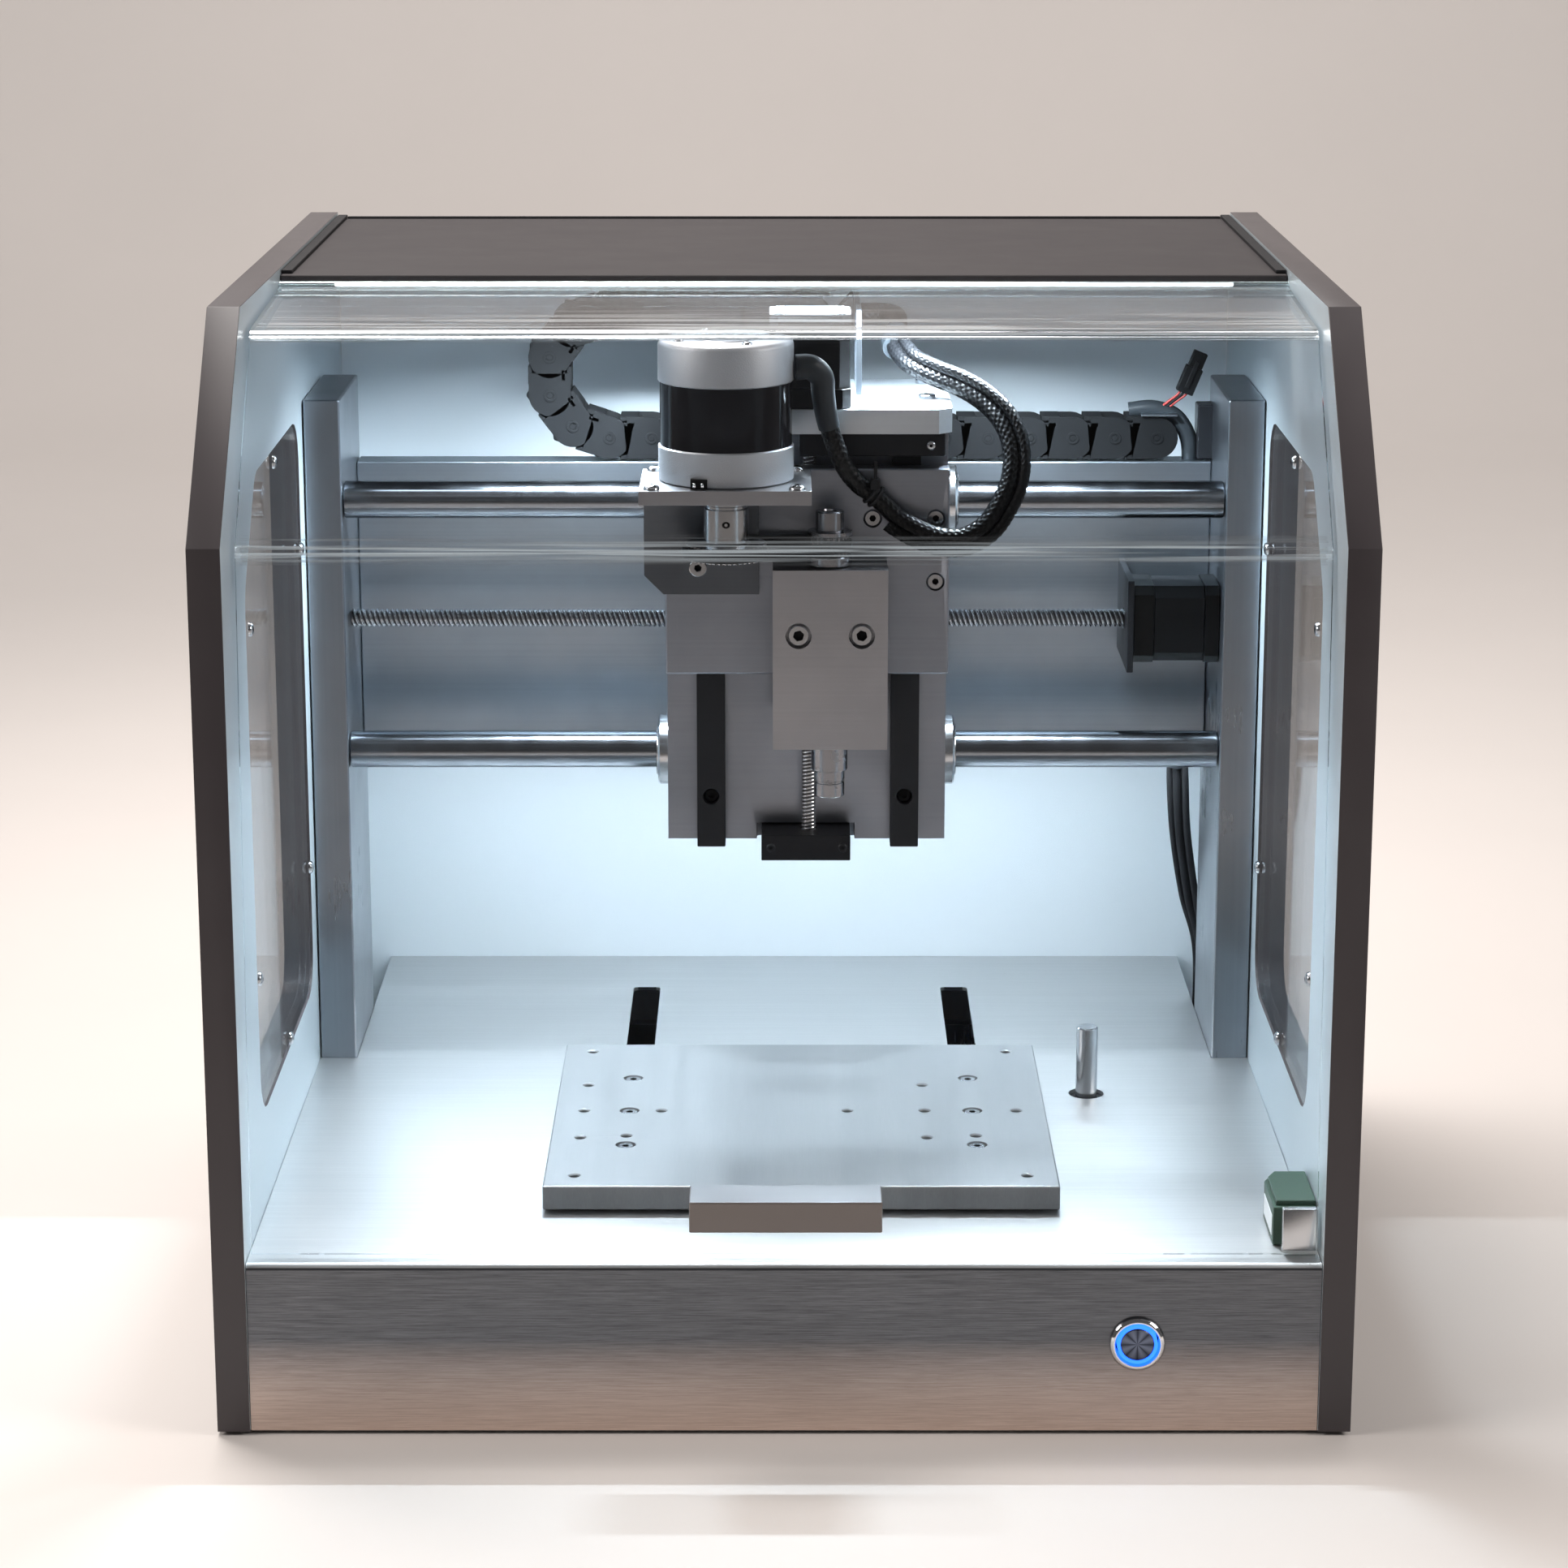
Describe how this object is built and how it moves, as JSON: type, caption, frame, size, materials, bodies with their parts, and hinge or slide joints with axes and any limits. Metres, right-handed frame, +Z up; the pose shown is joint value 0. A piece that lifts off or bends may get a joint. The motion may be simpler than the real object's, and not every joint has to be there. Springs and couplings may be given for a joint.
{
  "type": "desktop CNC mill",
  "caption": "Enclosed desktop CNC mill: bent clear front door, gantry on round shafts, belt-driven spindle, sliding worktable, cable chain and button on a brushed base.",
  "frame": {"origin": "centre of the bounding box's bottom face, on the surface the machine stands on", "axes": "+X to the right as seen from the front, +Y to the back, +Z up, normal to the worktable's top face"},
  "size_m": [0.542, 0.542, 0.529],
  "materials": {
    "charcoal_paint": "satin dark coating",
    "brushed_aluminium": "brushed",
    "milled_aluminium": "milled with fine scratches",
    "table_aluminium": "face milled",
    "blasted_aluminium": "bead blasted",
    "handle_anodised": "brown grey anodised",
    "polished_shaft": "ground and polished",
    "screw_steel": "rolled thread, oiled",
    "machined_steel": "turned",
    "black_metal": "black coating",
    "motor_black": "semi gloss black",
    "chain_plastic": "moulded, matte",
    "belt_rubber": "ribbed",
    "foot_rubber": "matte",
    "white_panel": "smooth white",
    "clear_sheet": "clear polycarbonate",
    "green_plastic": "moulded",
    "braided_sleeve": "braided black monofilament",
    "light_bar": "glowing diffuser"
  },
  "bodies": {
    "root": {"base_plate": "black_metal", "left_foot_strip": "foot_rubber", "right_foot_strip": "foot_rubber", "control_box": "black_metal", "left_side_panel": "charcoal_paint", "right_side_panel": "charcoal_paint", "left_side_window": "clear_sheet", "right_side_window": "clear_sheet", "deck_pan": "brushed_aluminium", "back_panel": "white_panel", "top_lid": "charcoal_paint", "led_strip": "light_bar", "left_column": "milled_aluminium", "right_column": "milled_aluminium", "cross_beam": "milled_aluminium", "upper_x_shaft": "polished_shaft", "lower_x_shaft": "polished_shaft", "x_motor": "motor_black", "x_motor_bracket": "milled_aluminium", "chain_lower_run": "chain_plastic", "y_front_block": "milled_aluminium", "y_rear_block": "milled_aluminium", "left_y_shaft": "polished_shaft", "right_y_shaft": "polished_shaft", "y_motor": "motor_black", "button_bezel": "machined_steel", "setter_body": "black_metal", "interlock_switch": "green_plastic"},
    "door": {"window_sheet": "clear_sheet", "hinge_rod": "machined_steel", "door_handle": "handle_anodised", "latch_plate": "machined_steel"},
    "button": {"button_cap": "machined_steel"},
    "setter": {"setter_pin": "machined_steel"},
    "x_leadscrew": {"x_screw": "screw_steel"},
    "y_leadscrew": {"y_screw": "screw_steel"},
    "table": {"worktable": "table_aluminium", "y_saddle": "milled_aluminium"},
    "chain": {"chain_bend": "chain_plastic"},
    "x_carriage": {"x_carriage_block": "milled_aluminium", "z_foot_bearing": "black_metal", "upper_linear_bearing": "machined_steel", "lower_linear_bearing": "machined_steel", "left_z_rail": "black_metal", "right_z_rail": "black_metal", "z_top_plate": "milled_aluminium", "z_motor": "motor_black", "chain_end_plate": "milled_aluminium", "chain_upper_run": "chain_plastic"},
    "z_leadscrew": {"z_screw": "screw_steel"},
    "z_carriage": {"z_plate": "milled_aluminium", "left_z_guide": "machined_steel", "right_z_guide": "machined_steel", "spindle_block": "milled_aluminium", "motor_bracket": "milled_aluminium", "spindle_motor": "blasted_aluminium", "drive_belt": "belt_rubber", "spindle_cable": "braided_sleeve"},
    "spindle_shaft": {"spindle": "machined_steel"},
    "motor_shaft": {"motor_pulley": "machined_steel"}
  },
  "joints": [
    {"name": "door_hinge", "type": "hinge", "parent": "root", "child": "door", "pos_m": [0, -0.0166, 0.5207], "axis": [-1, 0, 0], "range_deg": [0, 100]},
    {"name": "button_press", "type": "slide", "parent": "root", "child": "button", "axis": [0, 1, 0], "range_m": [0, 0.0015], "stiffness_N_per_m": 800},
    {"name": "setter_press", "type": "slide", "parent": "root", "child": "setter", "axis": [0, 0, -1], "range_m": [0, 0.005], "stiffness_N_per_m": 500, "springref_m": -0.003},
    {"name": "x_slide", "type": "slide", "parent": "root", "child": "x_carriage", "axis": [1, 0, 0], "range_m": [-0.115, 0.088]},
    {"name": "x_screw_turn", "type": "hinge", "parent": "root", "child": "x_leadscrew", "pos_m": [0, 0.097, 0.3263], "axis": [1, 0, 0], "range_deg": [-5200, 3980]},
    {"name": "chain_roll", "type": "slide", "parent": "root", "child": "chain", "axis": [1, 0, 0], "range_m": [-0.058, 0.0445], "deforming": ["chain_lower_run", "chain_upper_run"]},
    {"name": "y_slide", "type": "slide", "parent": "root", "child": "table", "axis": [0, 1, 0], "range_m": [-0.035, 0.165]},
    {"name": "y_screw_turn", "type": "hinge", "parent": "root", "child": "y_leadscrew", "pos_m": [0.009, -0.256, 0.0343], "axis": [0, 1, 0], "range_deg": [-1600, 7450]},
    {"name": "z_slide", "type": "slide", "parent": "x_carriage", "child": "z_carriage", "axis": [0, 0, 1], "range_m": [-0.076, 0], "deforming": ["spindle_cable"]},
    {"name": "z_screw_turn", "type": "hinge", "parent": "x_carriage", "child": "z_leadscrew", "pos_m": [0.013, 0.028, 0.0863], "axis": [0, 0, 1], "range_deg": [-3440, 20]},
    {"name": "motor_turn", "type": "hinge", "parent": "z_carriage", "child": "motor_shaft", "pos_m": [-0.0295, -0.023, 0.3863], "axis": [0, 0, 1], "continuous": true},
    {"name": "spindle_turn", "type": "hinge", "parent": "z_carriage", "child": "spindle_shaft", "pos_m": [0.0236, -0.008, 0.3863], "axis": [0, 0, 1], "continuous": true}
  ],
  "couplings": [
    {"joint": "x_screw_turn", "follows": "x_slide", "rad_per_m": 785.4},
    {"joint": "chain_roll", "follows": "x_slide", "ratio": 0.5},
    {"joint": "y_screw_turn", "follows": "y_slide", "rad_per_m": 785.4},
    {"joint": "z_screw_turn", "follows": "z_slide", "rad_per_m": 785.4},
    {"joint": "spindle_turn", "follows": "motor_turn", "ratio": 2.2105}
  ]
}
